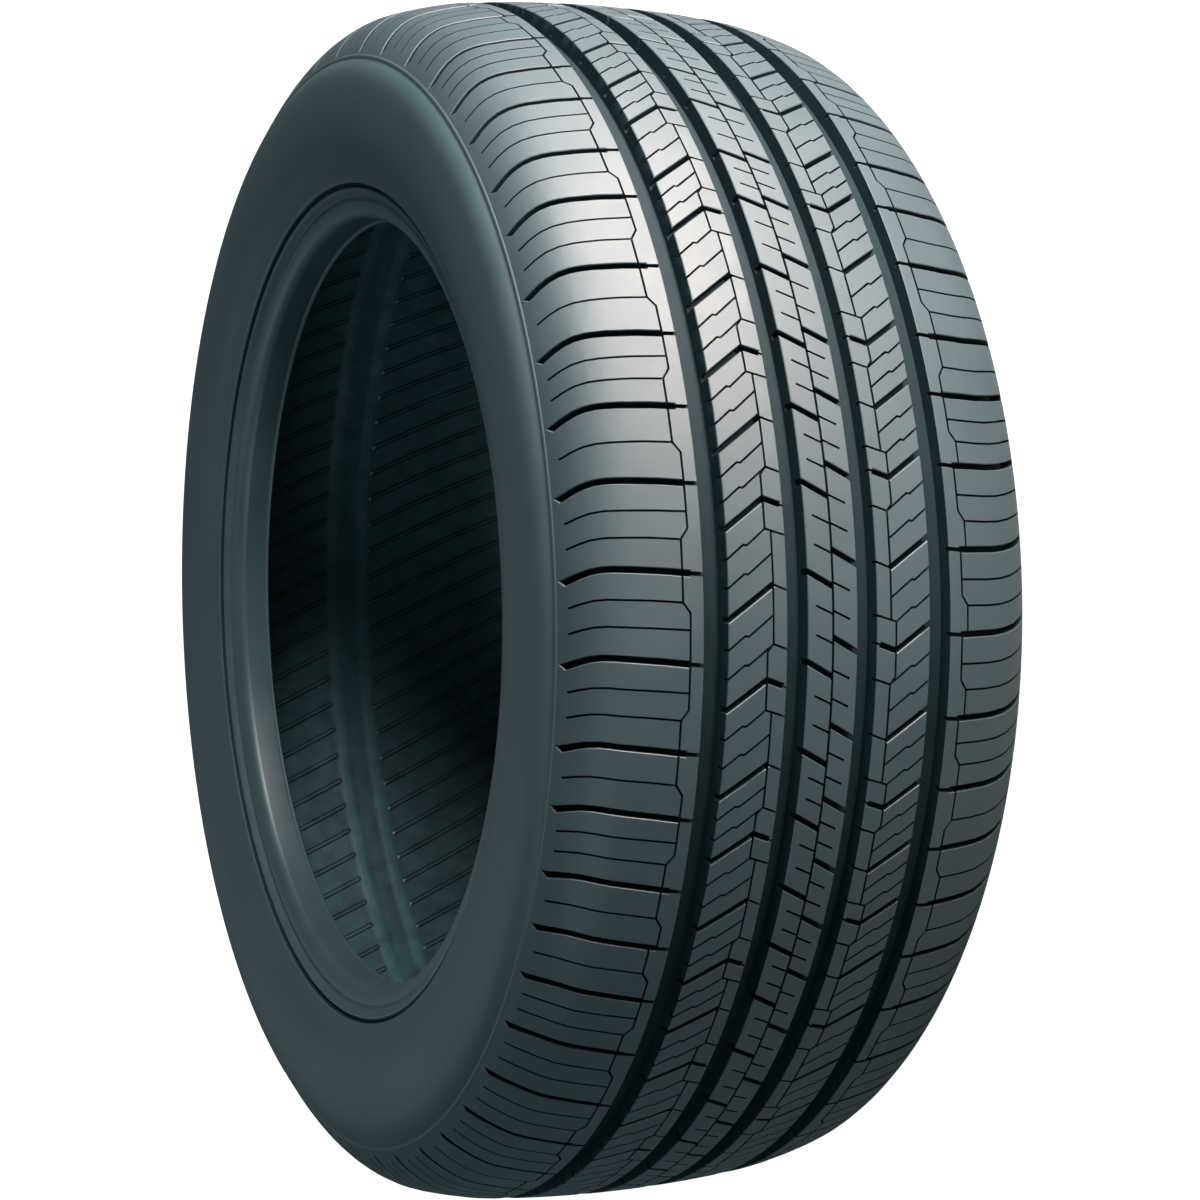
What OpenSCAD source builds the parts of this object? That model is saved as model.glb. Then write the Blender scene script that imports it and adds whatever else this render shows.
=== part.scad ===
// Passenger car tyre, moulded in one piece: five ribs, four wide grooves, chevron slots and fine sipes.
// The axis is Z and the origin is the centre of the tyre. +Z is the sidewall that faces the viewer.
// Lengths are in millimetres and angles in degrees.

/* [Section] */
// Outside radius at the middle of the tread
outer_radius = 343.5; // [330:0.5:360]
// Half of the section width, at the widest point of the sidewall
half_width = 138.5; // [134:0.5:146]
// Radius of the widest point of the sidewall
widest_radius = 280; // [270:1:290]
// Rubber from the middle of the tread to the inner liner
crown_thickness = 14; // [12:0.5:17]
// Distance from the centre plane to where the liner bends down
liner_flat = 35; // [28:1:45]
// Extra rubber under the shoulders
shoulder_thickening = 2; // [0:0.5:5]
// Thickness of the sidewall at its widest point
wall_thickness = 7.5; // [6:0.5:10]
// Rubber between the ring that ends the shoulder and the liner, along the axis
ring_thickness = 10; // [8:0.5:13]
// Rubber between the step over the rim flange and the liner, along the axis
flange_thickness = 9; // [7:0.5:11]

/* [Tread surface] */
// Radius of the arc across the tread
crown_arc = 720; // [600:10:1000]
// Distance from the centre plane to where the shoulder starts to round off
shoulder_start = 100; // [96:0.5:103]
// Fall of the tread surface at that place
shoulder_drop = 9.8; // [8:0.2:12]
// Distance from the centre plane to the corner that the shoulder rounds off
corner_offset = 118.5; // [116:0.1:121]
// Fall of the tread surface at that corner
corner_drop = 14.8; // [13:0.1:17]
// Distance from the centre plane to the ring that ends the shoulder
ring_offset = 129.2; // [128:0.1:131]
// Fall of the tread surface at that ring
ring_drop = 35.1; // [32:0.1:38]
// Height of the raised ring
ring_height = 0.8; // [0.4:0.1:1.4]

/* [Bead] */
// Radius of the bead seat, half of the rim seat diameter
seat_radius = 218.3; // [212:0.1:222]
// Distance from the centre plane to the bead heel
heel_offset = 117.5; // [115:0.5:120]
// Width of the bead from heel to toe
bead_width = 15; // [12:0.5:17]
// Rounding of the heel and of the toe
bead_rounding = 1.5; // [1:0.1:2]
// Radius of the step that meets the rim flange
flange_radius = 235; // [231:0.5:240]
// Distance along the axis from the heel out to the foot of that step
flange_rise = 8; // [7:0.1:9]
// Depth of the step along the axis
step_depth = 3.5; // [2.5:0.1:4.5]

/* [Main grooves] */
// Depth of the four main grooves
groove_depth = 8; // [6:0.5:9]
// Width lost on each side between the mouth and the floor of a groove
groove_draft = 1; // [0.4:0.1:2]
// Outer groove, edge nearer the shoulder
groove_1_out = 67.6; // [66:0.2:70]
// Outer groove, edge nearer the middle
groove_1_in = 55.2; // [52:0.2:58]
// Inner groove, edge nearer the shoulder
groove_2_out = 24.6; // [22:0.2:27]
// Inner groove, edge nearer the middle
groove_2_in = 13.5; // [12:0.1:15]

/* [Slots] */
// Width of the slots across the shoulders
slot_width = 2.6; // [2:0.1:3.2]
// Width of the slanted slots in the ribs
rib_slot_width = 2; // [1.6:0.1:2.6]
// Depth of the slots
slot_depth = 6; // [4:0.5:7]
// Distance from the centre plane to where the shoulder slots turn
slot_turn = 111; // [108:0.5:114]
// Distance from the centre plane to the end of the shoulder slots
slot_end = 127; // [124:0.5:128]
// Rise of the shoulder slots of the +Z half up to their turn, in degrees round the tyre
left_slot_rise = 0.4; // [0:0.1:0.8]
// The same on the -Z half, where they fall
right_slot_rise = -0.3; // [-0.8:0.1:0]
// Their fall on the way down from there
slot_fall = 0.9; // [0.5:0.1:1.5]
// Slant of the rib slots, in degrees round the tyre for each millimetre across it
rib_slant = 0.113; // [0.1:0.001:0.125]
// Fall of the short arm of a chevron, in degrees round the tyre
chevron_fall = 0.7; // [0.4:0.1:1]
// Slant of the slots in the middle rib, in degrees for each millimetre
centre_slant = 0.09; // [0.08:0.001:0.1]

/* [Sipes] */
// Width of the sipes at the surface
sipe_width = 0.9; // [0.7:0.1:1.2]
// Depth of the sipes
sipe_depth = 4; // [2.5:0.5:5.5]
// Rubber left between the end of a sipe and the next line or groove
sipe_stop = 1.2; // [1:0.1:2]
// Place of the only shoulder sipe of a pitch, as a share of the pitch
one_sipe = 0.46; // [0.4:0.01:0.5]
// Places of the two shoulder sipes of a longer pitch
two_sipes = [0.32, 0.63]; // [0.28:0.01:0.7]
// Places of the two rib sipes
rib_sipes = [0.34, 0.66]; // [0.3:0.01:0.7]
// Place of the short sipe in the middle rib
centre_sipe = 0.46; // [0.4:0.01:0.6]
// Length across the tyre of that sipe
centre_sipe_length = 8; // [5:0.5:9]
// Distance from the centre plane to the fine line in the ribs
rib_line = 33.3; // [31:0.1:36]
// Distance from the centre plane to the fine line in the shoulders
shoulder_line = 76.2; // [74:0.1:79]

/* [Pitches] */
// Short pitch in degrees, before the pitches are fitted to the full turn
short_pitch = 5.5; // [5.2:0.05:5.8]
// Middle pitch
middle_pitch = 6.3; // [6:0.05:6.6]
// Long pitch
long_pitch = 7.2; // [6.8:0.05:7.6]
// Angle of the first shoulder slot of the +Z half
left_start = 40.8; // [40:0.1:42]
// Angle of the first shoulder slot of the -Z half
right_start = 53.4; // [52:0.1:54]
// Angle by which the rib slots of the +Z half trail the shoulder slots
left_rib_lag = 3.7; // [3.2:0.1:4.2]
// Angle by which the rib slots of the -Z half trail the shoulder slots
right_rib_lag = 1; // [0.5:0.1:1.5]
// Angle by which the middle rib slots of the -Z half lead the shoulder slots
right_centre_lead = 1.2; // [0.7:0.1:1.7]

/* [Hidden] */
// The order of the pitches in each half: a short, b and c middle, d long. c and d have two shoulder sipes.
LEFT_ORDER = "adbcbdddacaacdddbdcddadbcdcdbddcdacdbdcddbcdacddbddcad";
RIGHT_ORDER = "ddcaaacdddcadbadcdddddcddbdcddaddddcdddcddbdddcdbddddd";
CUTTER_RISE = 4;
OVERLAP = 1;
// The foot of the ring, seen from its upper edge, and the round part of the lower sidewall above the flange step.
RING_FOOT = [-2.4, 1];
STEP_TOP = [8, 2.4];

function size_of(letter) = letter == "a" ? short_pitch : letter == "d" ? long_pitch : middle_pitch;
function sipes_of(letter) = letter == "a" || letter == "b" ? [one_sipe] : two_sipes;
function sum_to(order, n) = n <= 0 ? 0 : sum_to(order, n - 1) + size_of(order[n - 1]);

function crown(z) = outer_radius - z * z / (2 * crown_arc);
function bend(a, corner, b, steps) = [for (i = [1 : steps]) let (t = i / steps)
    (1 - t) * (1 - t) * a + 2 * t * (1 - t) * corner + t * t * b];
function flipped(points) = [for (i = [len(points) - 1 : -1 : 0]) [points[i][0], -points[i][1]]];

// Points of the half section are [radius, axial distance].
shoulder_top = [outer_radius - shoulder_drop, shoulder_start];
ring_point = [outer_radius - ring_drop, ring_offset];
shoulder_curve = bend(shoulder_top, [outer_radius - corner_drop, corner_offset], ring_point, 3);
tread_points = concat(
    [for (z = [0, groove_2_in, groove_2_out, groove_1_in, groove_1_out]) [crown(z), z]],
    [shoulder_top], shoulder_curve);
function radius_at(z) = lookup(abs(z), [for (p = tread_points) [p[1], p[0]]]);

// A fine groove round the whole tyre, and a wide one.
function line_at(z) = [
    [radius_at(z), z - sipe_width / 2], [radius_at(z) - sipe_depth, z], [radius_at(z), z + sipe_width / 2]];
function groove(inner, outer) = [
    [crown(inner), inner], [crown(inner) - groove_depth, inner + groove_draft],
    [crown(outer) - groove_depth, outer - groove_draft], [crown(outer), outer]];

ring_foot = ring_point + RING_FOOT;
ring_ridge = [
    ring_point + RING_FOOT / 4 + [0, ring_height], ring_point + RING_FOOT * 2 / 3 + [0, ring_height], ring_foot];
widest = [widest_radius, half_width];
flange_foot = [flange_radius, heel_offset + flange_rise];
flange_step = flange_foot + [5, step_depth];
above_step = flange_step + STEP_TOP;
upper_corner = ring_point[0] - 10;
lower_corner = (widest_radius + flange_step[0]) / 2;
sidewall = concat(
    bend(ring_foot, [upper_corner, half_width], widest, 6),
    bend(widest, [lower_corner, half_width], above_step, 6));
bead_outside = [
    flange_step, flange_foot, [flange_radius - 9, heel_offset + flange_rise - step_depth],
    [seat_radius + 2 * bead_rounding, heel_offset + bead_rounding], [seat_radius, heel_offset - bead_rounding]];
toe_offset = heel_offset - bead_width;
bead_toe = [
    [seat_radius, toe_offset + bead_rounding], [seat_radius - bead_rounding, toe_offset],
    [seat_radius + bead_rounding, toe_offset - bead_rounding]];

// The liner follows the outside: a thickness inside the step, the widest point and the ring, then under the tread.
liner_radius = outer_radius - crown_thickness;
liner_widest = widest - [0, wall_thickness];
liner_step = above_step - [0, flange_thickness];
liner_ring = ring_point - [0, ring_thickness];
liner_corner = [liner_radius - shoulder_thickening, liner_ring[1] - (liner_radius - liner_ring[0])];
liner = concat(
    [[seat_radius + 10, toe_offset + bead_rounding], liner_step],
    bend(liner_step, [lower_corner, liner_widest[1]], liner_widest, 5),
    bend(liner_widest, [upper_corner, liner_widest[1]], liner_ring, 4),
    bend(liner_ring, liner_corner, [liner_radius, liner_flat], 6));

outside = concat(
    groove(groove_2_in, groove_2_out), line_at(rib_line),
    groove(groove_1_in, groove_1_out), line_at(shoulder_line),
    [shoulder_top], shoulder_curve, ring_ridge, sidewall, bead_outside, bead_toe, liner);

module casing() {
    middle = line_at(0);
    rotate_extrude($fn = 180)
        polygon(concat([middle[1], middle[2]], outside, flipped(outside), [middle[0]]));
}

// A straight cutter that follows the surface between two [angle, z] points. z must not fall from p to q.
module cutter(p, q, shape) {
    run = (q[0] - p[0]) * PI / 180 * (radius_at(p[1]) + radius_at(q[1])) / 2;
    rise = q[1] - p[1];
    fall = radius_at(q[1]) - radius_at(p[1]);
    reach = norm([run, rise, fall]);
    rotate([0, 0, (p[0] + q[0]) / 2]) translate([radius_at(p[1]), -run / 2, p[1]])
        rotate([asin(-run / reach), atan2(fall, rise), 0])
        linear_extrude(height = reach) polygon(shape);
}

module slot(p, q, width) {
    side = width / 2;
    cutter(p, q, [[CUTTER_RISE, side], [-slot_depth, side], [-slot_depth, -side], [CUTTER_RISE, -side]]);
}

module sipe(p, q) {
    side = sipe_width / 2 * (sipe_depth + CUTTER_RISE) / sipe_depth;
    cutter(p, q, [[CUTTER_RISE, side], [-sipe_depth, 0], [CUTTER_RISE, -side]]);
}

// The slot runs nearly straight across and turns back on its way down the shoulder.
module shoulder_pitch(a, pitch, letter, rise) {
    turn = a + rise;
    slot([a, groove_1_out - OVERLAP], [turn, slot_turn], slot_width);
    slot([turn, slot_turn - OVERLAP], [turn - slot_fall, slot_end], slot_width);
    for (share = sipes_of(letter))
        sipe([a - pitch * share, shoulder_line + sipe_stop], [turn - pitch * share, shoulder_start - sipe_stop]);
}

// A slanted slot and two sipes. In a chevron the slot goes on to the inner groove with the opposite slant.
module rib_pitch(a, pitch, is_chevron) {
    apex = a + rib_slant * (groove_1_in - rib_line);
    inset = rib_slant * sipe_stop;
    slot([apex, rib_line], [a - rib_slant * OVERLAP, groove_1_in + OVERLAP], rib_slot_width);
    for (share = rib_sipes)
        sipe(
            [apex - inset - pitch * share, rib_line + sipe_stop],
            [a + inset - pitch * share, groove_1_in - sipe_stop]);
    if (is_chevron)
        slot([apex - chevron_fall, groove_2_out - OVERLAP], [apex, rib_line + 0.6], rib_slot_width);
}

// A slanted slot and a short sipe that ends in the middle of the half rib.
module centre_pitch(a, pitch) {
    foot = a - centre_slant * groove_2_in;
    slot([foot, 0], [a + centre_slant * OVERLAP, groove_2_in + OVERLAP], rib_slot_width);
    sipe(
        [foot + centre_slant * sipe_stop - pitch * centre_sipe, sipe_stop],
        [foot + centre_slant * centre_sipe_length - pitch * centre_sipe, centre_sipe_length]);
}

// One half of the tread, from the middle line to the shoulder. Every second pitch has a chevron.
module tread_half(order, start, slot_rise, rib_lag, centre_lead, first_chevron) {
    fit = 360 / sum_to(order, len(order));
    for (i = [0 : len(order) - 1]) {
        a = start - fit * sum_to(order, i);
        pitch = fit * size_of(order[i]);
        shoulder_pitch(a, pitch, order[i], slot_rise);
        rib_pitch(a - rib_lag, pitch, i % 2 == first_chevron);
        centre_pitch(a + centre_lead, pitch);
    }
}

module tyre() {
    color([0.13, 0.15, 0.16]) difference() {
        casing();
        tread_half(LEFT_ORDER, left_start, left_slot_rise, left_rib_lag, 0, 1);
        rotate([180, 0, 0])
            tread_half(RIGHT_ORDER, right_start, right_slot_rise, right_rib_lag, right_centre_lead, 0);
    }
}

tyre();
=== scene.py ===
"""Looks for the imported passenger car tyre.

The tyre lies on its sidewall with its axis along Z. Two moulded skins stand for the CAD solid: the tread with
all its slots and sipes, and the casing with both sidewalls, the beads and the inner liner. Sizes are in
millimetres and angles in degrees until the mesh is written, which is in metres.
"""

import logging
import math
from dataclasses import dataclass, field
from enum import Enum
from typing import Any, Iterable, Optional, Sequence

import bpy
import numpy as np
from mathutils import Matrix, Vector
from mathutils.geometry import delaunay_2d_cdt

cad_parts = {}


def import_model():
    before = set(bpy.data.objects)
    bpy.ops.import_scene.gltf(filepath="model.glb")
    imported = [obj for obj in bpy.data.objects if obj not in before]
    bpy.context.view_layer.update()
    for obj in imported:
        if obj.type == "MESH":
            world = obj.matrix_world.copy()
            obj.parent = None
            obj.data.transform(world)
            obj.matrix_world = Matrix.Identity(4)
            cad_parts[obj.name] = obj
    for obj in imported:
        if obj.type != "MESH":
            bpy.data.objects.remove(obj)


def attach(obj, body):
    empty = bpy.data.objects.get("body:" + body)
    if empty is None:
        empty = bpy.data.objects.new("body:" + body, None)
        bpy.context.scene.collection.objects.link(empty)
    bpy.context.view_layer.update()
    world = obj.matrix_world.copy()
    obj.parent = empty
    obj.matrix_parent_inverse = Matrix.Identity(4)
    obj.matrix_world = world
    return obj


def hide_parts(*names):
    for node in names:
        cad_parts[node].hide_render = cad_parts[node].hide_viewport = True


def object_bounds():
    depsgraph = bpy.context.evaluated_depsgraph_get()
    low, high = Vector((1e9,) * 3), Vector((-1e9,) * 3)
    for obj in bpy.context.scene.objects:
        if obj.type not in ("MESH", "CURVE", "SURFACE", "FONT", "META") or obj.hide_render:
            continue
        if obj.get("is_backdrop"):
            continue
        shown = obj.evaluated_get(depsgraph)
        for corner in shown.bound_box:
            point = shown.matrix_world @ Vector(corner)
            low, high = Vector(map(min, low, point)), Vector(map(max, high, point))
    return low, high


LOG = logging.getLogger("tyre")
MM = 0.001
FULL_TURN = 360.0
Point = tuple[float, float]


class Half(Enum):
    """The two halves of the tread. The value is the sign of their axial distance."""

    FRONT = 1
    BACK = -1


class Rubber(Enum):
    """The regions of the skin that are finished in different ways. The value is the material index."""

    TREAD = 0
    SIDEWALL = 1
    LINER = 2
    # Faces in grooves, sipes and the fine bead groove take near-black rubber as painted shade.
    SHADED_RECESS = 3
    BEAD = 4


# Shape helpers


def bezier(start: Point, corner: Point, end: Point, steps: int) -> list[Point]:
    """Samples a curve that rounds off a corner.

    Args:
        start: First point, which is left out of the result.
        corner: The corner that the curve rounds off.
        end: Last point.
        steps: Number of points to return.

    Returns:
        The points after start, in order.
    """
    points = []
    for i in range(1, steps + 1):
        t = i / steps
        a, b, c = (1 - t) ** 2, 2 * t * (1 - t), t * t
        points.append((a * start[0] + b * corner[0] + c * end[0], a * start[1] + b * corner[1] + c * end[1]))
    return points


@dataclass(frozen=True)
class Section:
    """The cross-section of the tyre, with the sizes of the CAD source."""

    outer_radius: float = 343.5
    half_width: float = 138.5
    widest_radius: float = 280.0
    crown_thickness: float = 14.0
    liner_flat: float = 35.0
    shoulder_thickening: float = 2.0
    wall_thickness: float = 7.5
    ring_thickness: float = 10.0
    flange_thickness: float = 9.0
    crown_arc: float = 720.0
    shoulder_start: float = 100.0
    shoulder_drop: float = 9.8
    corner_offset: float = 118.5
    corner_drop: float = 14.8
    ring_offset: float = 129.2
    ring_drop: float = 35.1
    ring_height: float = 0.8
    seat_radius: float = 218.3
    heel_offset: float = 117.5
    bead_width: float = 15.0
    flange_radius: float = 235.0
    groove_edge: float = 67.6

    def crown(self, z: float) -> float:
        """Returns the radius of the arc across the tread."""
        return self.outer_radius - z * z / (2 * self.crown_arc)

    def tread_table(self) -> tuple[np.ndarray, np.ndarray]:
        """Samples the tread surface from the middle to the ring.

        Returns:
            Axial distances, rising, and the radius at each.
        """
        points = [(self.crown(z), z) for z in np.linspace(0, self.groove_edge, 40)]
        top = (self.outer_radius - self.shoulder_drop, self.shoulder_start)
        corner = (self.outer_radius - self.corner_drop, self.corner_offset)
        ring = (self.outer_radius - self.ring_drop, self.ring_offset)
        edge = (self.crown(self.groove_edge), self.groove_edge)
        slope_a = -self.groove_edge / self.crown_arc
        slope_b = (corner[0] - top[0]) / (corner[1] - top[1])
        span = top[1] - edge[1]
        for t in np.linspace(0, 1, 25)[1:]:
            radius = (
                (2 * t**3 - 3 * t**2 + 1) * edge[0]
                + (t**3 - 2 * t**2 + t) * span * slope_a
                + (3 * t**2 - 2 * t**3) * top[0]
                + (t**3 - t**2) * span * slope_b
            )
            points.append((radius, edge[1] + t * span))
        points += bezier(top, corner, ring, 60)
        table = np.array(points)
        return table[:, 1], table[:, 0]

    def bead_face(self) -> list[Point]:
        """Draws the face that meets the rim flange: a fine groove, a fitting rib, a hollow and the heel.

        Returns:
            Points of radius and axial distance.
        """
        step, heel, seat = self.flange_radius, self.heel_offset, self.seat_radius
        groove = [(4.0, 11.0), (2.8, 9.8), (2.2, 7.6), (1.5, 7.2)]
        rib = [(0.9, 7.9), (0.2, 8.8), (-1.0, 8.9), (-2.2, 7.8)]
        hollow = [(-3.2, 5.9), (-4.2, 4.9), (-5.4, 4.9), (-7.0, 5.6)]
        face = [(step + out, heel + along) for out, along in groove + rib + hollow]
        return face + bezier(face[-1], (seat + 2.2, heel + 4.6), (seat + 0.2, heel - 0.6), 7)

    def below_ring(self) -> list[Point]:
        """Lists the outline from the ring over the sidewall and bead to the middle of the liner.

        Returns:
            Points of radius and axial distance.
        """
        ring = (self.outer_radius - self.ring_drop, self.ring_offset)
        foot = (ring[0] - 2.4, ring[1] + 1)
        step = (self.flange_radius + 5, self.heel_offset + 11.5)
        above = (step[0] + 8, step[1] + 2.4)
        widest = (self.widest_radius, self.half_width)
        upper, lower = ring[0] - 10, (widest[0] + step[0]) / 2
        seat, heel, toe = self.seat_radius, self.heel_offset, self.heel_offset - self.bead_width
        points = [ring, (ring[0] - 0.3, ring[1] + 0.5), (ring[0] - 0.7, ring[1] + self.ring_height)]
        points += [(ring[0] - 1.6, ring[1] + self.ring_height + 0.25), foot]
        points += bezier(foot, (upper, self.half_width), widest, 12)
        points += bezier(widest, (lower, self.half_width), above, 10)
        points += [(step[0] + 3.5, step[1] + 0.9), (step[0] + 1.0, step[1] + 0.1)]
        points += self.bead_face()
        points += [(seat, heel - 1.5), (seat, toe + 1.5)]
        round_toe = [(-1.1, 0.5), (-1.4, -0.1), (-0.7, -0.9), (1.5, -1.5)]
        points += [(seat + out, toe + along) for out, along in round_toe]
        inside = (seat + 10, toe + 1.5)
        thin = self.half_width - self.wall_thickness
        top = self.outer_radius - self.crown_thickness
        step_inside = (above[0], above[1] - self.flange_thickness)
        ring_inside = (ring[0], ring[1] - self.ring_thickness)
        corner = (top - self.shoulder_thickening, ring_inside[1] - (top - ring_inside[0]))
        points += [(seat + 5, toe - 0.5), inside]
        points += bezier(inside, ((inside[0] + step_inside[0]) / 2 + 0.6, 112.8), step_inside, 3)
        points += bezier(step_inside, (lower, thin), (widest[0], thin), 8)
        points += bezier((widest[0], thin), (upper, thin), ring_inside, 8)
        points += bezier(ring_inside, corner, (top, self.liner_flat), 10)
        points += [(top, self.liner_flat * share) for share in (0.66, 0.33)]
        return points


# Tread pattern


@dataclass(frozen=True)
class Cut:
    """One slot or sipe: a strip along a line of points of angle and axial distance.

    The points are in the frame of their half, where axial distances are positive. The two ends run on
    by tail.
    """

    points: Sequence[Point]
    width: float
    depth: float
    tail: float = 0.0


@dataclass(frozen=True)
class HalfPattern:
    """The sizes by which the slots and sipes of one half were laid out."""

    half: Half
    order: str
    start: float
    rib_lag: float
    centre_lead: float
    slot_path: Sequence[Point]
    sipe_path: Sequence[Point]
    one_sipe: float
    two_sipes: tuple[float, float]
    rib_slant: float
    first_chevron: int
    outer_line: float
    inner_line: float
    rib_outer: float
    rib_inner: float


FRONT_PATTERN = HalfPattern(
    half=Half.FRONT,
    order="aDbCbDdDaCaaCdDdBdCddAdbCDcdBddCdaCdbDCddBcdaCddBddCaD",
    start=40.8,
    rib_lag=3.7,
    centre_lead=0.05,
    slot_path=(
        (0.0, 67.6), (0.3, 86.0), (0.5, 101.0), (0.6, 110.0),
        (0.58, 115.0), (0.42, 119.2), (0.1, 123.2), (-0.4, 127.6),
    ),
    sipe_path=(
        (0.0, 77.0), (0.2, 92.0), (0.3, 105.0), (0.36, 112.0),
        (0.28, 117.5), (0.02, 122.0), (-0.34, 126.0),
    ),
    one_sipe=0.455,
    two_sipes=(0.305, 0.61),
    rib_slant=0.119,
    first_chevron=1,
    outer_line=77.8,
    inner_line=74.3,
    rib_outer=35.0,
    rib_inner=31.9,
)
BACK_PATTERN = HalfPattern(
    half=Half.BACK,
    order="DDcAaAcdddcAdBaDcdDdDDcddbDcdDaDdDdCddDcdDbDDdCdbDDdDd",
    start=53.4,
    rib_lag=1.0,
    centre_lead=1.2,
    slot_path=(
        (0.0, 67.6), (0.06, 86.0), (0.04, 97.0), (-0.12, 105.0),
        (-0.4, 112.0), (-0.85, 119.0), (-1.5, 127.0),
    ),
    sipe_path=((0.0, 77.0), (0.04, 92.0), (-0.04, 101.0), (-0.3, 109.0), (-0.75, 117.0), (-1.3, 125.0)),
    one_sipe=0.46,
    two_sipes=(0.33, 0.64),
    rib_slant=0.11,
    first_chevron=0,
    outer_line=78.2,
    inner_line=74.7,
    rib_outer=35.4,
    rib_inner=32.5,
)


@dataclass(frozen=True)
class TreadPattern:
    """All the cuts of the tread, and the edges of its main grooves."""

    pitch_sizes: tuple[float, float, float] = (5.5, 6.3, 7.2)
    grooves: tuple[Point, Point] = ((13.5, 24.6), (55.2, 67.6))
    groove_depth: float = 8.0
    groove_draft: float = 1.0
    slot_width: float = 3.1
    rib_slot_width: float = 2.7
    slot_depth: float = 6.0
    stub_width: float = 2.1
    stub_depth: float = 3.4
    sipe_width: float = 1.1
    sipe_depth: float = 4.0
    line_width: float = 1.25
    rib_shares: tuple[float, float] = (0.335, 0.655)
    centre_shares: tuple[float, float] = (0.305, 0.63)
    centre_slant: float = 0.093
    short_sipe: float = 9.4
    short_sipe_slant: float = 0.078
    chamfer: float = 0.4

    def pitch_size(self, letter: str) -> float:
        """Returns the angle of a pitch: a is short, b and c are middle and d is long."""
        return self.pitch_sizes[{"a": 0, "b": 1, "c": 1, "d": 2}[letter.lower()]]

    def shoulder(self, plan: HalfPattern, a: float, pitch: float, letter: str) -> list[Cut]:
        """Lays out one pitch of the shoulder.

        Args:
            plan: The sizes of the half.
            a: Angle of the slot.
            pitch: Angle to the next slot.
            letter: Kind of pitch. A capital moves the fine line outwards, a small letter inwards.

        Returns:
            The slot, the sipes and the stretch of fine line.
        """
        single = letter in "abAB"
        outwards = letter.isupper()
        shares = (plan.one_sipe,) if single else plan.two_sipes
        jog_sipe = shares[-1] if outwards else shares[0]
        before, after = (
            (plan.inner_line, plan.outer_line) if outwards else (plan.outer_line, plan.inner_line)
        )
        jog = a - pitch * jog_sipe
        bend = 0.85
        line = (
            [(a, before), (jog + bend, before), (jog, after), (a - pitch, after)]
            if outwards
            else [(a, before), (jog, before), (jog - bend, after), (a - pitch, after)]
        )
        stub_end = 74.0
        main = [(a + plan.slot_path[0][0] + 0.08, stub_end)] + [(a + t, z) for t, z in plan.slot_path[1:]]
        cuts = [
            Cut(main, self.slot_width, self.slot_depth),
            Cut([(a, 67.6), (a + 0.1, stub_end + 1)], self.stub_width, self.stub_depth, 1.0),
            Cut(line, self.sipe_width, self.sipe_depth, 0.2),
        ]
        for share in shares:
            s = a - pitch * share
            on_outer = share == jog_sipe or (not outwards and share < jog_sipe)
            foot = plan.outer_line if on_outer else plan.inner_line
            path = [(s, foot)] + [(s + t, z) for t, z in plan.sipe_path[1:]]
            cuts.append(Cut(path, self.sipe_width, self.sipe_depth))
        return cuts

    def zigzag(self, plan: HalfPattern, mouth: float, foot: float) -> Cut:
        """Lays out a rib sipe with a small kink half way.

        Args:
            plan: The sizes of the half.
            mouth: Angle where the sipe meets the outer groove.
            foot: Axial distance at which it ends.

        Returns:
            The sipe.
        """
        edge = self.grooves[1][0]
        kink = 46.6
        high = mouth + plan.rib_slant * (edge - kink) + 0.12
        end = mouth + plan.rib_slant * (edge - foot)
        return Cut(
            [(mouth, edge), (high, kink), (high - 0.05, kink - 1.9), (end, foot)],
            self.sipe_width,
            self.sipe_depth,
            0.2,
        )

    def rib(self, plan: HalfPattern, a: float, pitch: float, chevron: bool) -> list[Cut]:
        """Lays out one pitch of the rib between the two grooves.

        Args:
            plan: The sizes of the half.
            a: Angle where the slot meets the outer groove.
            pitch: Angle to the next slot.
            chevron: Whether the slot goes on to the inner groove.

        Returns:
            The slot, the sipes, the stretch of fine line and its short branches.
        """
        edge, inner_edge = self.grooves[1][0], self.grooves[0][1]
        outer, inner = plan.rib_outer, plan.rib_inner
        ridge = outer if chevron else inner
        apex = a + plan.rib_slant * (edge - ridge)
        lags = [share * pitch for share in self.rib_shares]
        first = a - lags[0] + plan.rib_slant * (edge - outer)
        second = a - lags[1] + plan.rib_slant * (edge - inner)
        following = a - pitch + plan.rib_slant * (edge - (inner if chevron else outer))
        cuts = [
            Cut([(a - plan.rib_slant, edge + 1), (apex, ridge)], self.rib_slot_width, self.slot_depth, 0.4),
            self.zigzag(plan, a - lags[0], outer if chevron else inner),
            self.zigzag(plan, a - lags[1], inner),
        ]
        branch = [(first, outer), (first - 0.55, inner_edge)]
        if chevron:
            arm = [(apex, outer), (apex - 0.5, inner_edge + 2.2)]
            cuts.append(Cut(arm, self.rib_slot_width, self.slot_depth, 0.5))
            cuts.append(Cut([arm[1], (apex - 0.66, inner_edge)], self.sipe_width, self.sipe_depth, 0.3))
            cuts.append(Cut([(apex, outer), (first, outer)], self.sipe_width, self.sipe_depth, 0.2))
            cuts.append(Cut(branch, self.sipe_width, self.sipe_depth, 0.3))
            cuts.append(
                Cut([(first - 0.16, inner), (following, inner)], self.sipe_width, self.sipe_depth, 0.2)
            )
        else:
            jog = second - 0.62
            cuts.append(
                Cut([(apex, inner), (apex - 0.5, inner_edge)], self.sipe_width, self.sipe_depth, 0.3)
            )
            cuts.append(
                Cut([(second, inner), (second - 0.45, inner_edge)], self.sipe_width, self.sipe_depth, 0.3)
            )
            line = [(apex, inner), (second, inner), (jog, outer), (following, outer)]
            cuts.append(Cut(line, self.sipe_width, self.sipe_depth, 0.2))
        return cuts

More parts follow.
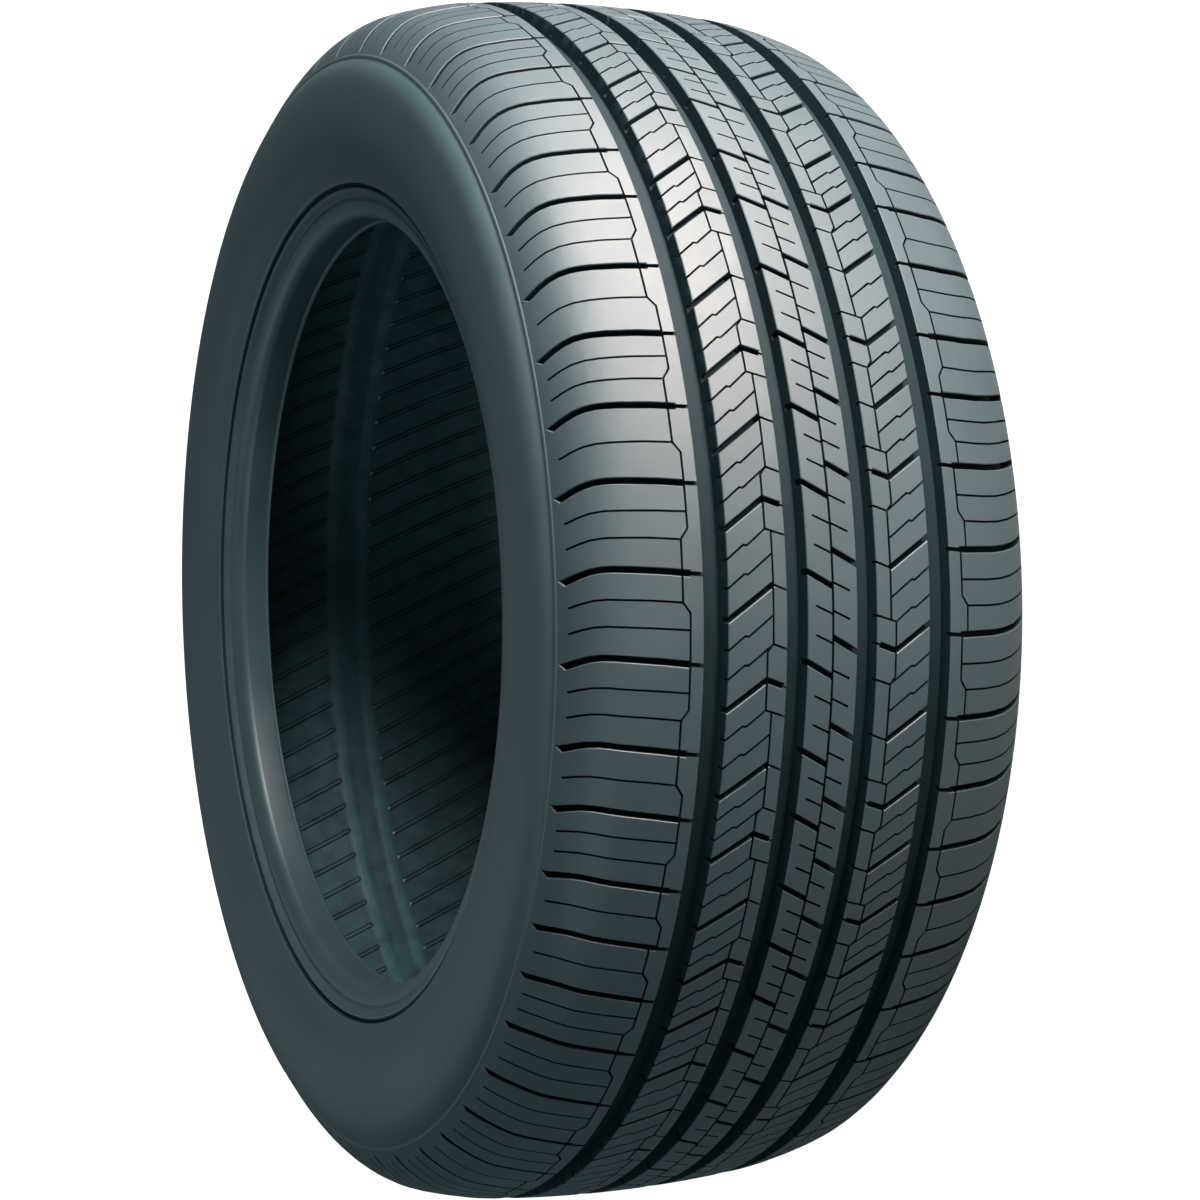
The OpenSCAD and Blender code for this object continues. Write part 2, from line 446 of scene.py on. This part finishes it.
    def centre(self, plan: HalfPattern, a: float, pitch: float) -> list[Cut]:
        """Lays out one pitch of this half of the middle rib.

        Args:
            plan: The sizes of the half.
            a: Angle where the slot meets the inner groove.
            pitch: Angle to the next slot.

        Returns:
            The slot and two short sipes.
        """
        edge = self.grooves[0][0]
        foot = a - self.centre_slant * edge
        slot = [(foot, 0.0), (a + self.centre_slant, edge + 1)]
        cuts = [Cut(slot, self.rib_slot_width, self.slot_depth)]
        reach = self.short_sipe
        for share in self.centre_shares:
            s = foot - share * pitch
            sipe = [(s, 0.0), (s + self.short_sipe_slant * reach, reach)]
            cuts.append(Cut(sipe, self.sipe_width, self.sipe_depth))
        return cuts

    def half_cuts(self, plan: HalfPattern) -> list[Cut]:
        """Lays out one half and turns it into its place.

        Args:
            plan: The sizes of the half.

        Returns:
            The cuts in the frame of the whole tread.
        """
        sizes = [self.pitch_size(letter) for letter in plan.order]
        fit = FULL_TURN / sum(sizes)
        cuts: list[Cut] = []
        a = plan.start
        for i, letter in enumerate(plan.order):
            pitch = sizes[i] * fit
            cuts += self.shoulder(plan, a, pitch, letter)
            cuts += self.rib(plan, a - plan.rib_lag, pitch, i % 2 == plan.first_chevron)
            cuts += self.centre(plan, a + plan.centre_lead, pitch)
            a -= pitch
        sign = plan.half.value
        return [Cut([(sign * t, sign * z) for t, z in c.points], c.width, c.depth, c.tail) for c in cuts]


@dataclass
class SkinMesh:
    """Vertices and faces of the skin while it is put together. Places are in millimetres."""

    places: list[np.ndarray] = field(default_factory=list)
    faces: list[np.ndarray] = field(default_factory=list)
    regions: list[np.ndarray] = field(default_factory=list)
    count: int = 0

    def add(self, places: np.ndarray, faces: np.ndarray, regions: np.ndarray) -> None:
        """Adds a batch of triangles.

        Args:
            places: One row per vertex.
            faces: Three vertex numbers per face, counted within this batch.
            regions: Material index per face.
        """
        self.places.append(places)
        self.faces.append(faces + self.count)
        self.regions.append(regions)
        self.count += len(places)

    def to_object(self, name: str, weld: float, crease: float) -> bpy.types.Object:
        """Writes the mesh as a Blender object.

        Args:
            name: Name of the object.
            weld: Distance in millimetres within which vertices are joined.
            crease: Angle in degrees above which an edge stays sharp.

        Returns:
            The object, linked to the scene.
        """
        places = np.concatenate(self.places)
        faces = np.concatenate(self.faces)
        regions = np.concatenate(self.regions)
        keys = np.round(places / weld).astype(np.int64)
        _, first, inverse = np.unique(keys, axis=0, return_index=True, return_inverse=True)
        faces = inverse.reshape(-1)[faces]
        whole = (faces[:, 0] != faces[:, 1]) & (faces[:, 1] != faces[:, 2]) & (faces[:, 2] != faces[:, 0])
        faces, regions = faces[whole], regions[whole]
        mesh = bpy.data.meshes.new(name)
        mesh.from_pydata((places[first] * MM).tolist(), [], faces.tolist())
        mesh.polygons.foreach_set("material_index", regions.astype(np.int32))
        mesh.polygons.foreach_set("use_smooth", np.ones(len(faces), bool))
        mesh.update()
        mesh.set_sharp_from_angle(angle=math.radians(crease))
        obj = bpy.data.objects.new(name, mesh)
        bpy.context.scene.collection.objects.link(obj)
        LOG.info("%s: %d vertices, %d triangles", name, len(mesh.vertices), len(faces))
        return obj


def strip_outline(points: Sequence[Point], half_width: float, tail: float) -> list[Point]:
    """Draws the outline of a strip along a line of points.

    Args:
        points: Corners of the line, in flat millimetres.
        half_width: Half of the width of the strip.
        tail: Length by which both ends run on.

    Returns:
        The outline as one closed polygon, anticlockwise.
    """
    line = np.array(points, float)
    steps = np.diff(line, axis=0)
    steps /= np.linalg.norm(steps, axis=1)[:, None]
    line[0] -= steps[0] * tail
    line[-1] += steps[-1] * tail
    normals = np.column_stack([-steps[:, 1], steps[:, 0]])
    offsets = [normals[0]]
    for a, b in zip(normals[:-1], normals[1:]):
        middle = a + b
        offsets.append(middle / max(np.dot(middle, a), 0.6))
    offsets.append(normals[-1])
    shift = np.array(offsets) * half_width
    return [tuple(p) for p in line - shift] + [tuple(p) for p in (line + shift)[::-1]]


@dataclass
class Tread:
    """The tread between the two rings, triangulated in the flat and wrapped onto the tyre."""

    section: Section
    pattern: TreadPattern
    around: int = 240
    shoulder_rows: tuple[float, ...] = (90.0, 99.0, 106.0, 111.5, 116.0, 119.5, 122.5, 125.2, 127.4)
    rib_rows: tuple[float, ...] = (6.5, 30.0, 40.0, 48.0)
    overhang: float = 9.0

    def flat(self, theta: float) -> float:
        """Returns the flat distance along the tread of an angle."""
        return math.radians(theta) * self.section.outer_radius

    def cuts(self) -> list[Cut]:
        """Returns every cut, with copies of those that cross the seam at the back."""
        cuts = [c for plan in (FRONT_PATTERN, BACK_PATTERN) for c in self.pattern.half_cuts(plan)]
        middle_line = [(t, 0.0) for t in (-185.0, 0.0, 185.0)]
        cuts.append(Cut(middle_line, self.pattern.line_width, self.pattern.sipe_depth))
        placed = []
        for cut in cuts:
            for turn in (-2 * FULL_TURN, -FULL_TURN, 0.0, FULL_TURN, 2 * FULL_TURN):
                moved = [(t + turn, z) for t, z in cut.points]
                if min(t for t, _ in moved) < 180.5 and max(t for t, _ in moved) > -180.5:
                    placed.append(Cut(moved, cut.width, cut.depth, cut.tail))
        return placed

    def triangulate(self) -> tuple[np.ndarray, np.ndarray, list[list[int]], list[float]]:
        """Triangulates the flat tread with every cut outline as an edge.

        Returns:
            Flat vertices, triangles, the outlines that hold each triangle, and the depth of each outline.
        """
        places: list[Point] = []
        edges: list[tuple[int, int]] = []
        outlines: list[list[int]] = []
        depths: list[float] = []
        half_turn = self.flat(180.0)
        ring = self.section.ring_offset

        def put(points: Iterable[Point]) -> list[int]:
            first = len(places)
            places.extend(points)
            return list(range(first, len(places)))

        def row(z: float) -> None:
            numbers = put([(self.flat(t), z) for t in np.linspace(-180.0, 180.0, self.around + 1)])
            edges.extend(zip(numbers[:-1], numbers[1:]))

        def loop(numbers: list[int]) -> None:
            edges.extend(zip(numbers, numbers[1:] + numbers[:1]))

        for sign in (1, -1):
            row(sign * ring)
            for z in self.shoulder_rows + self.rib_rows:
                row(sign * z)
            for inner, outer in self.pattern.grooves:
                for z in (inner - self.pattern.chamfer, inner, outer, outer + self.pattern.chamfer):
                    row(sign * z)
                low, high = sorted((sign * inner, sign * outer))
                left, right = -half_turn - self.overhang, half_turn + self.overhang
                outlines.append(put([(left, low), (right, low), (right, high), (left, high)]))
                depths.append(self.pattern.groove_depth)
        loop(put([(-half_turn, -ring), (half_turn, -ring), (half_turn, ring), (-half_turn, ring)]))
        for cut in self.cuts():
            line = [(self.flat(t), z) for t, z in cut.points]
            outlines.append(put(strip_outline(line, cut.width / 2, cut.tail)))
            depths.append(cut.depth)
            if cut.depth >= self.pattern.slot_depth:
                rim = self.pattern.chamfer
                loop(put(strip_outline(line, cut.width / 2 + rim, cut.tail + rim)))
        result = delaunay_2d_cdt([Vector(p) for p in places], edges, outlines, 0, 0.004, True)
        vertices = np.array([tuple(v) for v in result[0]])
        triangles = np.array([f for f in result[2] if len(f) == 3])
        holders = [h for f, h in zip(result[2], result[5]) if len(f) == 3]
        middle = vertices[triangles].mean(axis=1)
        inside = (np.abs(middle[:, 0]) < half_turn) & (np.abs(middle[:, 1]) < ring)
        kept = np.nonzero(inside)[0]
        return vertices, triangles[kept], [holders[i] for i in kept], depths

    def wrap(self, flat: np.ndarray, depth: np.ndarray) -> np.ndarray:
        """Puts flat points onto the tyre at a depth below its surface.

        Args:
            flat: Flat places.
            depth: Depth of each in millimetres.

        Returns:
            Places in space.
        """
        table_z, table_r = self.section.tread_table()
        z = np.abs(flat[:, 1])
        sign = np.sign(flat[:, 1])
        for inner, outer in self.pattern.grooves:
            lean = self.pattern.groove_draft * depth / self.pattern.groove_depth
            z = z + np.where(np.abs(z - inner) < 0.02, lean, 0) - np.where(np.abs(z - outer) < 0.02, lean, 0)
        radius = np.interp(z, table_z, table_r)
        slope = (np.interp(z + 0.4, table_z, table_r) - np.interp(z - 0.4, table_z, table_r)) / 0.8
        blend = np.clip((z - 85) / 20, 0, 1)
        tilt = np.arctan(-slope) * blend
        radius = radius - depth * np.cos(tilt)
        z = z - depth * np.sin(tilt)
        angle = flat[:, 0] / self.section.outer_radius
        return np.column_stack([radius * np.cos(angle), radius * np.sin(angle), z * sign])

    def build(self, skin: SkinMesh) -> None:
        """Adds the tread to the skin.

        Args:
            skin: The mesh to add to.
        """
        flat, triangles, holders, depths = self.triangulate()
        level = np.array([max((depths[h] for h in held), default=0.0) for held in holders])
        touched = np.zeros(len(flat), bool)
        touched[triangles[level >= self.pattern.slot_depth].reshape(-1)] = True
        drop = np.where(touched, self.pattern.chamfer, 0.0)
        levels = sorted(set(level.tolist()))
        number = {}
        places = []
        total = 0
        for value in levels:
            used = np.unique(triangles[level == value])
            number[value] = np.full(len(flat), -1)
            number[value][used] = total + np.arange(len(used))
            depth = np.full(len(used), value) if value > 0 else drop[used]
            places.append(self.wrap(flat[used], depth))
            total += len(used)
        faces = [number[v][triangles[level == v]] for v in levels]
        regions = []
        for value in levels:
            # Every cut face takes the near-black groove rubber, painted shade for the recesses.
            finish = Rubber.SHADED_RECESS if value > 0 else Rubber.TREAD
            regions.append(np.full(int((level == value).sum()), finish.value))
        sides: dict[tuple[int, int], list[tuple[float, int, int]]] = {}
        for tri, value in zip(triangles.tolist(), level.tolist()):
            for a, b in ((tri[0], tri[1]), (tri[1], tri[2]), (tri[2], tri[0])):
                sides.setdefault((min(a, b), max(a, b)), []).append((value, a, b))
        walls = []
        for pair in sides.values():
            if len(pair) == 2 and pair[0][0] != pair[1][0]:
                high, low = sorted(pair)
                a, b = high[1], high[2]
                walls.append((number[high[0]][b], number[high[0]][a], number[low[0]][a]))
                walls.append((number[high[0]][b], number[low[0]][a], number[low[0]][b]))
        faces.append(np.array(walls))
        # The cut walls take the same painted-shade groove rubber.
        regions.append(np.full(len(walls), Rubber.SHADED_RECESS.value))
        skin.add(np.concatenate(places), np.concatenate(faces), np.concatenate(regions))


@dataclass
class Casing:
    """The sidewalls, the beads and the liner, revolved round the axis."""

    section: Section
    around: int = 240
    # Radii above the flange step whose faces are painted dark as shade in the fine groove.
    fitting_groove: tuple[float, float] = (1.4, 2.9)

    def in_fitting_groove(self, radius: float) -> bool:
        """Tells whether a radius lies in the fine groove that is moulded round the bead."""
        low, high = self.fitting_groove
        return low < radius - self.section.flange_radius < high

    def build(self, skin: SkinMesh) -> None:
        """Adds the casing to the skin.

        Args:
            skin: The mesh to add to.
        """
        half = self.section.below_ring()
        outline = half + [(r, -z) for r, z in half[::-1]]
        angles = np.linspace(-math.pi, math.pi, self.around + 1)[:-1]
        ring = np.column_stack([np.cos(angles), np.sin(angles)])
        rows = [np.column_stack([r * ring, np.full(self.around, z)]) for r, z in outline]
        toe = min(range(len(half)), key=lambda i: half[i][0])
        bead = next(i for i, (r, _) in enumerate(half) if r < self.section.flange_radius + 4.5)
        n = self.around
        faces, regions = [], []
        for i in range(len(outline) - 1):
            depth = min(i, len(outline) - 2 - i)
            region = Rubber.SIDEWALL if depth < bead else Rubber.BEAD if depth < toe + 2 else Rubber.LINER
            # The fine groove round the bead takes the near-black groove rubber as painted shade.
            if depth < toe and self.in_fitting_groove((outline[i][0] + outline[i + 1][0]) / 2):
                region = Rubber.SHADED_RECESS
            for j in range(n):
                a, b = i * n + j, i * n + (j + 1) % n
                faces += [(a, b + n, a + n), (a, b, b + n)]
                regions += [region.value] * 2
        skin.add(np.concatenate(rows), np.array(faces), np.array(regions))


# Finishes


def linear(colour: str) -> tuple[float, float, float, float]:
    """Turns an sRGB hex colour into linear values with full alpha."""
    parts = [int(colour[i : i + 2], 16) / 255 for i in (0, 2, 4)]
    values = [p / 12.92 if p <= 0.04045 else ((p + 0.055) / 1.055) ** 2.4 for p in parts]
    return (values[0], values[1], values[2], 1.0)


def node(
    tree: bpy.types.NodeTree,
    kind: str,
    settings: Optional[dict[str, Any]] = None,
    inputs: Optional[dict[Any, Any]] = None,
) -> bpy.types.Node:
    """Adds a node with its settings and links.

    Args:
        tree: The node tree.
        kind: The node's type name.
        settings: Attributes of the node.
        inputs: Values or output sockets for its inputs, by name or number.

    Returns:
        The node.
    """
    made = tree.nodes.new(kind)
    for key, value in (settings or {}).items():
        setattr(made, key, value)
    for key, value in (inputs or {}).items():
        if isinstance(value, bpy.types.NodeSocket):
            tree.links.new(value, made.inputs[key])
        else:
            made.inputs[key].default_value = value
    return made


def blank_material(name: str) -> tuple[bpy.types.Material, bpy.types.NodeTree]:
    """Makes a material with an empty node tree."""
    material = bpy.data.materials.new(name)
    material.use_nodes = True
    material.node_tree.nodes.clear()
    return material, material.node_tree


@dataclass(frozen=True)
class MouldedRubber:
    """Vulcanised rubber as it leaves the mould: nearly black, with a soft and slightly uneven sheen."""

    name: str
    colour: str
    light_colour: str
    roughness: float
    grain_mm: float
    grain_height: float
    cloud_mm: float
    ior: float = 1.52
    unevenness: float = 0.05

    def build(self) -> bpy.types.Material:
        """Builds the material.

        Returns:
            The material, with grain from the mould and faint clouds of bloom on the rubber.
        """
        material, tree = blank_material(self.name)
        place = node(tree, "ShaderNodeTexCoord").outputs["Object"]
        clouds = node(
            tree, "ShaderNodeTexNoise", {"noise_dimensions": "3D"},
            {"Vector": place, "Scale": 1000 / self.cloud_mm, "Detail": 4.0, "Roughness": 0.6},
        ).outputs["Fac"]
        grain = node(
            tree, "ShaderNodeTexNoise", {"noise_dimensions": "3D"},
            {"Vector": place, "Scale": 1000 / self.grain_mm, "Detail": 2.0, "Roughness": 0.55},
        ).outputs["Fac"]
        colour = node(
            tree, "ShaderNodeMix", {"data_type": "RGBA"},
            {"Factor": clouds, "A": linear(self.colour), "B": linear(self.light_colour)},
        ).outputs["Result"]
        rough = node(
            tree, "ShaderNodeMapRange", None,
            {
                "Value": clouds, "From Min": 0.3, "From Max": 0.7,
                "To Min": self.roughness - self.unevenness, "To Max": self.roughness + self.unevenness,
            },
        ).outputs["Result"]
        bump = node(
            tree, "ShaderNodeBump", None,
            {"Height": grain, "Strength": 0.35, "Distance": self.grain_height * MM},
        ).outputs["Normal"]
        shader = node(
            tree, "ShaderNodeBsdfPrincipled", None,
            {"Base Color": colour, "Roughness": rough, "Normal": bump, "IOR": self.ior},
        )
        node(tree, "ShaderNodeOutputMaterial", None, {"Surface": shader.outputs["BSDF"]})
        return material


@dataclass(frozen=True)
class BladderedRubber(MouldedRubber):
    """Liner rubber pressed against a curing bladder, with diagonal vent ridges and two smooth bands."""

    ridges: int = 114
    slant: float = 0.08
    phase: float = 0.32
    ridge_half_width: float = 0.085
    bands_mm: tuple[float, float] = (19.5, -2.0)
    band_half_width_mm: float = 4.2
    plain_half_width_mm: float = 14.5
    relief_mm: float = 1.0
    band_height: float = 0.35
    # Painted sheen: the colour of the bands is made lighter to stand for their gloss.
    painted_band_sheen: float = 0.6
    # Painted shade: the colour is darkened along the edges of each ridge.
    painted_ridge_edge_shade: float = 0.9

    def build(self) -> bpy.types.Material:
        """Builds the material.

        Returns:
            The material, whose ridges follow the angle round the axis and the distance along it.
        """
        material = super().build()
        tree = material.node_tree
        shader = next(n for n in tree.nodes if n.type == "BSDF_PRINCIPLED")
        place = node(tree, "ShaderNodeTexCoord").outputs["Object"]
        split = node(tree, "ShaderNodeSeparateXYZ", None, {"Vector": place})
        x, y, z = (split.outputs[axis] for axis in "XYZ")

        def maths(operation: str, *values: Any) -> bpy.types.NodeSocket:
            return node(tree, "ShaderNodeMath", {"operation": operation}, dict(enumerate(values))).outputs[0]

        def step(value: bpy.types.NodeSocket, low: float, high: float) -> bpy.types.NodeSocket:
            return node(
                tree, "ShaderNodeMapRange", {"interpolation_type": "SMOOTHSTEP"},
                {"Value": value, "From Min": low, "From Max": high},
            ).outputs["Result"]

        turn = maths("MULTIPLY", maths("ARCTAN2", y, x), self.ridges / math.tau)
        drift = maths("MULTIPLY", z, -self.slant / MM * self.ridges / FULL_TURN)
        share = maths("FRACT", maths("ADD", maths("ADD", turn, drift), self.phase))
        offset = maths("ABSOLUTE", maths("SUBTRACT", share, 0.5))
        middle = sum(self.bands_mm) / 2 * MM
        reach = (self.bands_mm[0] - self.bands_mm[1]) / 2 * MM
        from_middle = maths("ABSOLUTE", maths("SUBTRACT", z, middle))
        zone = step(from_middle, self.plain_half_width_mm * MM, (self.plain_half_width_mm + 2) * MM)
        ridge_off = step(offset, self.ridge_half_width * 0.6, self.ridge_half_width)
        ridge = maths("MULTIPLY", zone, maths("SUBTRACT", 1.0, ridge_off))
        edge = maths("ABSOLUTE", maths("SUBTRACT", offset, self.ridge_half_width))
        # Painted shade along both edges of each ridge.
        dark = maths("MULTIPLY", zone, maths("SUBTRACT", 1.0, step(edge, 0.0, self.ridge_half_width * 0.7)))
        from_band = maths("ABSOLUTE", maths("SUBTRACT", from_middle, reach))
        band_off = step(from_band, self.band_half_width_mm * 0.2 * MM, self.band_half_width_mm * 1.5 * MM)
        band = maths("SUBTRACT", 1.0, band_off)
        height = maths("ADD", ridge, maths("MULTIPLY", band, self.band_height))
        grain = shader.inputs["Normal"].links[0].from_socket
        bump = node(
            tree, "ShaderNodeBump", None,
            {"Height": height, "Strength": 1.0, "Distance": self.relief_mm * MM, "Normal": grain},
        )
        tree.links.new(bump.outputs["Normal"], shader.inputs["Normal"])
        # The bands' colour is lifted as a painted sheen, and the ridge edges are darkened as painted shade.
        lift = maths("ADD", 1.0, maths("MULTIPLY", band, self.painted_band_sheen))
        shade = maths("SUBTRACT", lift, maths("MULTIPLY", dark, self.painted_ridge_edge_shade))
        tint = node(
            tree, "ShaderNodeMix", {"data_type": "RGBA", "blend_type": "MULTIPLY"},
            {"Factor": 1.0, "A": shader.inputs["Base Color"].links[0].from_socket},
        )
        grey = node(tree, "ShaderNodeCombineColor", None, {"Red": shade, "Green": shade, "Blue": shade})
        tree.links.new(grey.outputs["Color"], tint.inputs[7])
        tree.links.new(tint.outputs[2], shader.inputs["Base Color"])
        return material


# Rubber of a new tread: dark, with a broad sheen where a large light strikes it at a low angle.
TREAD_RUBBER = MouldedRubber("moulded tread rubber", "202f34", "27383d", 0.56, 0.7, 0.05, 60.0)
# The sides and floors of grooves and sipes keep a duller skin. Their near-black colour and low IOR are
# painted shade, so they read darker than the blocks.
SHADED_RECESS_RUBBER = MouldedRubber("moulded groove rubber with painted shade", "0b171a", "122328", 0.7, 0.7, 0.05, 60.0, 1.2)
# Sidewall compound holds more wax and is smoother than the tread.
SIDE_RUBBER = MouldedRubber("moulded sidewall rubber", "233438", "2b3e43", 0.54, 0.5, 0.03, 110.0)
# The bead is moulded against a polished ring, so it shines more than the sidewall.
BEAD_RUBBER = MouldedRubber(
    "bead rubber moulded on a polished ring", "26383c", "2f4449", 0.46, 0.9, 0.03, 40.0
)
# The liner is pressed against a bladder. It is darker and unevenly shiny, with painted shade along its vent
# ridges and a painted sheen on its bands.
LINER_RUBBER = BladderedRubber("bladder-moulded liner rubber", "0f2024", "31535a", 0.44, 2.5, 0.3, 14.0)


@dataclass(frozen=True)
class PaleFloor:
    """A matt studio floor that the camera sees as nearly white. Glow is what it adds for the camera alone."""

    size: float = 14.0
    colour: str = "c4c4c4"
    glow: float = 0.95

    def build(self, height: float) -> bpy.types.Object:
        """Lays the floor.

        Args:
            height: Its height in metres.

        Returns:
            The floor.
        """
        half = self.size / 2
        mesh = bpy.data.meshes.new("floor")
        corners = [(-half, -half, height), (half, -half, height), (half, half, height), (-half, half, height)]
        mesh.from_pydata(corners, [], [(0, 1, 2, 3)])
        floor = bpy.data.objects.new("floor", mesh)
        bpy.context.scene.collection.objects.link(floor)
        material, tree = blank_material("matt white floor paint")
        paint = node(tree, "ShaderNodeBsdfDiffuse", None, {"Color": linear(self.colour)}).outputs["BSDF"]
        white = {"Color": (1.0, 1.0, 1.0, 1.0), "Strength": self.glow}
        glow = node(tree, "ShaderNodeEmission", None, white).outputs["Emission"]
        seen = node(tree, "ShaderNodeAddShader", None, {0: paint, 1: glow}).outputs["Shader"]
        camera = node(tree, "ShaderNodeLightPath").outputs["Is Camera Ray"]
        mixed = node(tree, "ShaderNodeMixShader", None, {"Fac": camera, 1: paint, 2: seen}).outputs["Shader"]
        node(tree, "ShaderNodeOutputMaterial", None, {"Surface": mixed})
        mesh.materials.append(material)
        floor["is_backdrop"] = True
        return floor


@dataclass(frozen=True)
class SoftLamp:
    """A rectangular soft box that the camera doesn't see. Its place and sizes are in metres."""

    name: str
    place: tuple[float, float, float]
    target: tuple[float, float, float]
    width: float
    height: float
    power: float
    colour: str = "ffffff"

    def build(self) -> None:
        """Hangs the lamp."""
        light = bpy.data.lights.new(self.name, "AREA")
        light.shape = "RECTANGLE"
        light.size, light.size_y = self.width, self.height
        light.energy = self.power
        light.color = linear(self.colour)[:3]
        lamp = bpy.data.objects.new(self.name, light)
        lamp.visible_camera = False
        lamp.location = self.place
        lamp.rotation_euler = (Vector(self.target) - Vector(self.place)).to_track_quat("-Z", "Y").to_euler()
        bpy.context.scene.collection.objects.link(lamp)


@dataclass(frozen=True)
class Studio:
    """The lamps and the world round the tyre."""

    lamps: tuple[SoftLamp, ...]
    world_strength: float = 0.17
    world_colour: str = "d2f0f8"

    def build(self) -> None:
        """Lights the scene. The camera sees a white background."""
        for lamp in self.lamps:
            lamp.build()
        world = bpy.data.worlds.new("studio")
        bpy.context.scene.world = world
        world.use_nodes = True
        tree = world.node_tree
        tree.nodes.clear()
        path = node(tree, "ShaderNodeLightPath")
        air = {"Color": linear(self.world_colour), "Strength": self.world_strength}
        light = node(tree, "ShaderNodeBackground", None, air).outputs["Background"]
        backdrop = {"Color": (1.0, 1.0, 1.0, 1.0), "Strength": 1.0}
        white = node(tree, "ShaderNodeBackground", None, backdrop).outputs["Background"]
        mixed = node(
            tree, "ShaderNodeMixShader", None, {"Fac": path.outputs["Is Camera Ray"], 1: light, 2: white}
        ).outputs["Shader"]
        node(tree, "ShaderNodeOutputWorld", None, {"Surface": mixed})
        bpy.context.scene.view_settings.view_transform = "Standard"


@dataclass(frozen=True)
class PhotoCamera:
    """The camera at the viewing angle of the photograph, with its right, down and forward directions."""

    place_mm: tuple[float, float, float] = (1543.44, 0.0, 668.91)
    right: tuple[float, float, float] = (0.414144, -0.022741, -0.909927)
    down: tuple[float, float, float] = (-0.008769, -0.999741, 0.020994)
    forward: tuple[float, float, float] = (-0.910169, -0.000716, -0.414236)
    focal_px: float = 2856.0
    frame_px: float = 1200.0

    def build(self) -> None:
        """Sets up the camera."""
        data = bpy.data.cameras.new("photo camera")
        data.sensor_width = 36.0
        data.lens = 36.0 * self.focal_px / self.frame_px
        camera = bpy.data.objects.new("photo camera", data)
        axes = Matrix((self.right, [-v for v in self.down], [-v for v in self.forward])).transposed()
        camera.matrix_world = Matrix.Translation(Vector(self.place_mm) * MM) @ axes.to_4x4()
        bpy.context.scene.collection.objects.link(camera)
        bpy.context.scene.camera = camera


STUDIO = Studio(
    lamps=(
        SoftLamp("low key soft box", (0.67, 0.79, -0.12), (0.2, 0.18, 0.03), 1.0, 0.16, 66.0, "ffece4"),
        SoftLamp("raised fill soft box", (1.0, 1.6, 0.62), (-0.1, -0.1, 0.0), 0.8, 0.5, 60.0, "fffaf7"),
        SoftLamp("lower fill soft box", (0.9, -0.95, 0.9), (0.0, 0.0, 0.05), 0.9, 0.9, 6.0, "dcf2f8"),
        SoftLamp("left fill soft box", (-1.2, -0.9, 1.7), (0.1, 0.1, 0.12), 0.9, 0.9, 4.2, "dcf2f8"),
        SoftLamp("left rim soft box", (-1.2, -0.35, 0.75), (0.1, -0.2, 0.12), 0.5, 0.5, 0.4, "dcf2f8"),
    ),
)


@dataclass
class Tyre:
    """The whole tyre, as a tread skin and a casing skin that meet at the two rings."""

    section: Section = field(default_factory=Section)
    pattern: TreadPattern = field(default_factory=TreadPattern)

    def build(self) -> list[bpy.types.Object]:
        """Builds and dresses the skins.

        Returns:
            The two skins.
        """
        finishes = [f.build() for f in (TREAD_RUBBER, SIDE_RUBBER, LINER_RUBBER, SHADED_RECESS_RUBBER, BEAD_RUBBER)]
        built = []
        regions = {"tread_skin": Tread(self.section, self.pattern), "casing_skin": Casing(self.section)}
        for name, region in regions.items():
            skin = SkinMesh()
            region.build(skin)
            piece = skin.to_object(name, weld=0.006, crease=32.0)
            for finish in finishes:
                piece.data.materials.append(finish)
            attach(piece, "root")
            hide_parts("tyre")
            built.append(piece)
        return built


def corners(box: Sequence[Iterable[float]]) -> list[list[float]]:
    """Turns a box into plain lists of numbers."""
    return [[float(v) for v in corner] for corner in box]


def main() -> None:
    """Builds the scene."""
    logging.basicConfig(level=logging.INFO, format="%(name)s: %(message)s")
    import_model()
    cad_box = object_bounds()
    PhotoCamera().build()
    for piece in Tyre().build():
        LOG.info("built %s", piece.name)
    floor_height = corners(cad_box)[0][2]
    LOG.info("built %s", PaleFloor().build(floor_height).name)
    STUDIO.build()
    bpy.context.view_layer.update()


if __name__ == "__main__":
    main()
